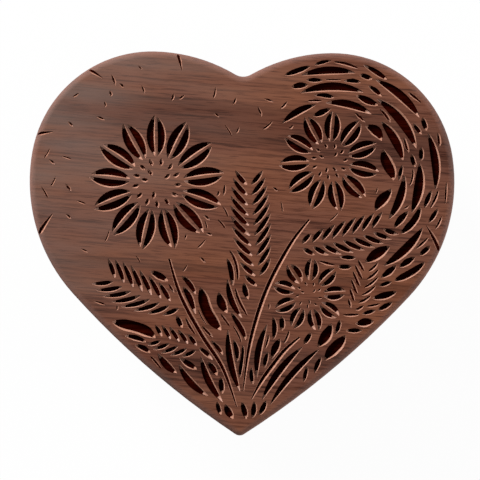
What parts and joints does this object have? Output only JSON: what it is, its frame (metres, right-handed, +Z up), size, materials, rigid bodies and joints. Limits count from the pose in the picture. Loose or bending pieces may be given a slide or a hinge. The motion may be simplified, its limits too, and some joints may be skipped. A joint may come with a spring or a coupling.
{
  "type": "wind up music box",
  "caption": "Heart-shaped walnut music box: a swivel lid over a keepsake well and a spring-driven cylinder movement under a clear cover, wound by a key underneath.",
  "frame": {"origin": "under the middle of the heart outline, on the surface that the box stands on", "axes": "+X across the lobes, +Y from the point to the cleft, +Z up"},
  "size_m": [0.11, 0.0992, 0.065],
  "materials": {
    "walnut": "satin oiled walnut",
    "brass": "turned and polished brass",
    "cast_zinc": "die-cast zinc, matt",
    "steel": "ground steel",
    "spring_steel": "blued spring steel",
    "plated_screw": "nickel plated steel",
    "nickel_magnet": "nickel plated magnet",
    "clear_acrylic": "clear polished acrylic sheet"
  },
  "bodies": {
    "case": {"base_shell": "walnut", "pivot_bush": "brass", "pivot_washer": "brass", "stop_dowel": "steel", "base_magnet": "nickel_magnet", "movement_cover": "clear_acrylic", "cover_screws": "plated_screw", "movement_screws": "plated_screw", "bedplate": "cast_zinc", "comb": "steel", "comb_screws": "plated_screw", "click_spring": "steel", "click_screw": "plated_screw", "barrel_bridge": "brass", "bridge_pillars": "brass", "bridge_screws": "plated_screw", "bearing_bracket": "cast_zinc", "bracket_screws": "plated_screw", "governor_frame": "cast_zinc", "governor_screws": "plated_screw", "stop_lever_post": "brass", "stop_lever_screw": "plated_screw"},
    "lid": {"lid": "walnut", "pivot_pin": "brass", "lid_magnet": "nickel_magnet"},
    "winder": {"winding_arbor": "steel", "ratchet_wheel": "steel", "winding_key": "brass"},
    "barrel": {"spring_barrel": "brass", "barrel_cap": "brass", "mainspring": "spring_steel"},
    "cylinder": {"cylinder": "brass", "cylinder_caps": "brass", "cylinder_arbor": "steel", "crown_pinion": "brass", "great_wheel": "brass"},
    "layshaft": {"layshaft": "steel", "layshaft_pinion": "brass", "worm_wheel": "brass"},
    "governor": {"governor_worm": "steel", "brake_disc": "steel", "governor_fan": "brass"},
    "stop_lever": {"stop_lever": "steel", "stop_knob": "brass"}
  },
  "joints": [
    {"name": "lid_swing", "type": "hinge", "parent": "case", "child": "lid", "pos_m": [0, 0.03482, 0.04], "axis": [0, 0, 1], "range_deg": [0, 110]},
    {"name": "key_wind", "type": "hinge", "parent": "case", "child": "winder", "pos_m": [-0.018, 0, 0.013], "axis": [0, 0, 1], "range_deg": [0, 1440], "deforming": ["click_spring"]},
    {"name": "cylinder_spin", "type": "hinge", "parent": "case", "child": "cylinder", "pos_m": [0, 0, 0.0254], "axis": [1, 0, 0], "continuous": true},
    {"name": "barrel_spin", "type": "hinge", "parent": "case", "child": "barrel", "pos_m": [-0.018, 0, 0.0166], "axis": [0, 0, 1], "continuous": true},
    {"name": "layshaft_spin", "type": "hinge", "parent": "case", "child": "layshaft", "pos_m": [0.0215, 0.01061, 0.0234], "axis": [1, 0, 0], "continuous": true},
    {"name": "governor_spin", "type": "hinge", "parent": "case", "child": "governor", "pos_m": [0.0215, 0.01761, 0.0234], "axis": [0, 0, 1], "continuous": true},
    {"name": "stop_lever_swing", "type": "hinge", "parent": "case", "child": "stop_lever", "pos_m": [0.02995, 0.00861, 0.028], "axis": [0, 0, 1], "range_deg": [-12, 0]}
  ],
  "couplings": [
    {"joint": "barrel_spin", "follows": "cylinder_spin", "ratio": 0.27778},
    {"joint": "layshaft_spin", "follows": "cylinder_spin", "ratio": -3.5},
    {"joint": "governor_spin", "follows": "cylinder_spin", "ratio": 70}
  ]
}
